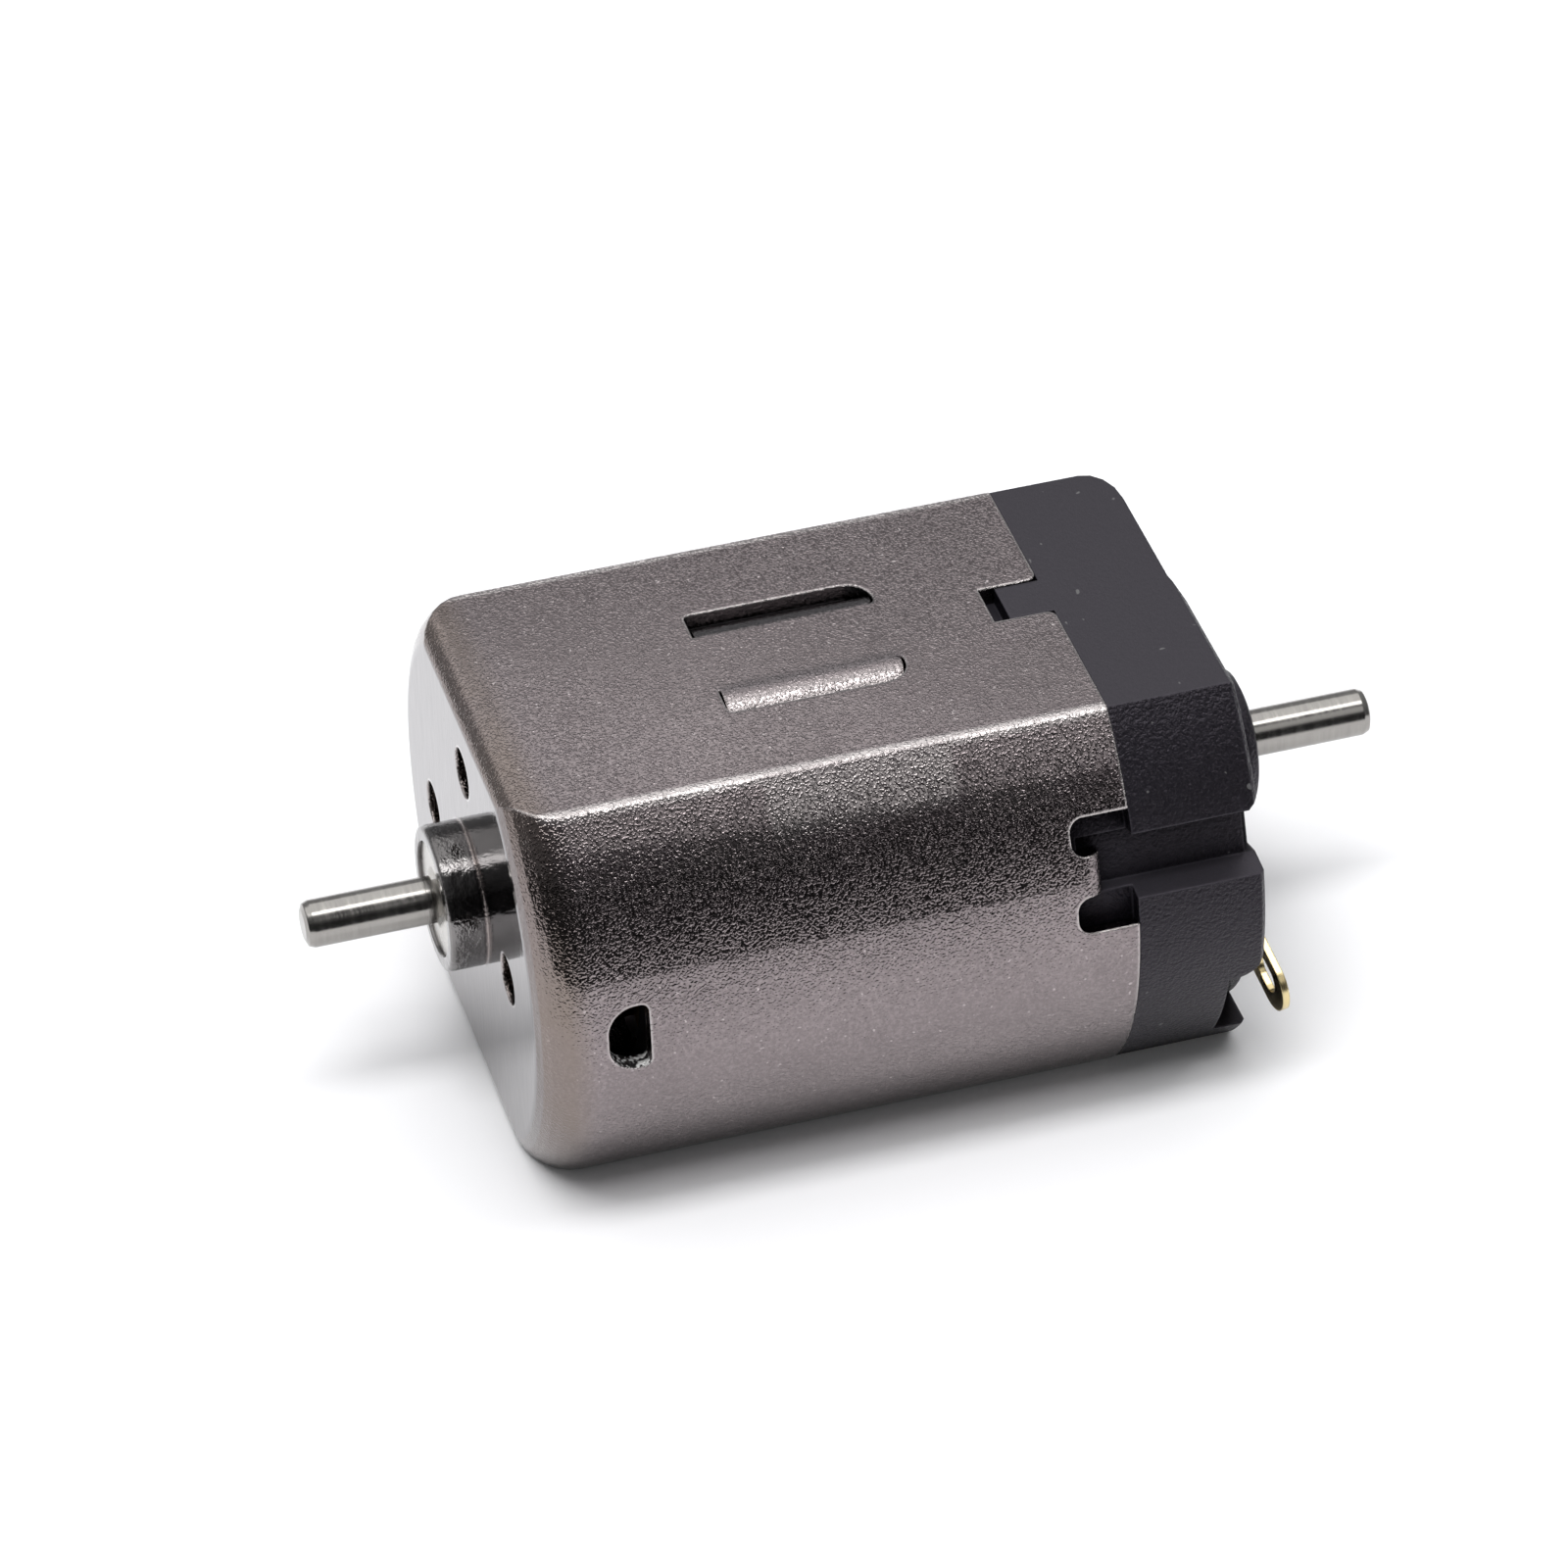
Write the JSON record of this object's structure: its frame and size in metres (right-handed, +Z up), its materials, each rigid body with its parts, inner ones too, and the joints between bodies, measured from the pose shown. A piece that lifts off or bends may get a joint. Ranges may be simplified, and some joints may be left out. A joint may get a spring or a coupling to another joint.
{
  "type": "dc motor",
  "caption": "Small flat-sided brushed motor: dark steel can with a front boss, black moulded end cap, side solder lugs and a thin bright shaft out at both ends.",
  "frame": {"origin": "on the shaft axis, in the plane of the can's front face", "axes": "Y along the shaft, -Y out of the boss at the drive end, +Y out of the end cap, Z up from the lower flat"},
  "size_m": [0.0242, 0.0461, 0.0184],
  "materials": {
    "can_steel": "satin, dark nickel plate",
    "cap_plastic": "matte, fine moulded grain",
    "bush_bronze": "machined",
    "terminal_brass": "stamped",
    "magnet_ferrite": "ground ferrite",
    "spring_steel": "spring temper",
    "arm_copper": "rolled strip",
    "brush_carbon": "carbon",
    "shaft_steel": "ground bright",
    "core_steel": "laminated",
    "insulator_plastic": "moulded",
    "coil_wire": "enamelled wire",
    "hub_plastic": "moulded",
    "bar_copper": "turned",
    "sleeve_plastic": "moulded",
    "washer_plastic": "moulded"
  },
  "bodies": {
    "stator": {"can": "can_steel", "end_cap": "cap_plastic", "front_bush": "bush_bronze", "rear_bush": "bush_bronze", "terminal_left": "terminal_brass", "terminal_right": "terminal_brass", "magnet_left": "magnet_ferrite", "magnet_right": "magnet_ferrite", "magnet_spring": "spring_steel", "brush_arm_left": "arm_copper", "brush_arm_right": "arm_copper", "brush_left": "brush_carbon", "brush_right": "brush_carbon"},
    "rotor": {"shaft": "shaft_steel", "core": "core_steel", "core_insulator_front": "insulator_plastic", "core_insulator_rear": "insulator_plastic", "coil_a": "coil_wire", "coil_b": "coil_wire", "coil_c": "coil_wire", "commutator_hub": "hub_plastic", "commutator_bar_a": "bar_copper", "commutator_bar_b": "bar_copper", "commutator_bar_c": "bar_copper", "commutator_ring": "hub_plastic", "spacer_sleeve": "sleeve_plastic", "thrust_washer_front": "washer_plastic", "thrust_washer_rear": "washer_plastic"}
  },
  "joints": [
    {"name": "rotor_spin", "type": "hinge", "parent": "stator", "child": "rotor", "pos_m": [0, 0, 0], "axis": [0, 1, 0], "continuous": true}
  ]
}
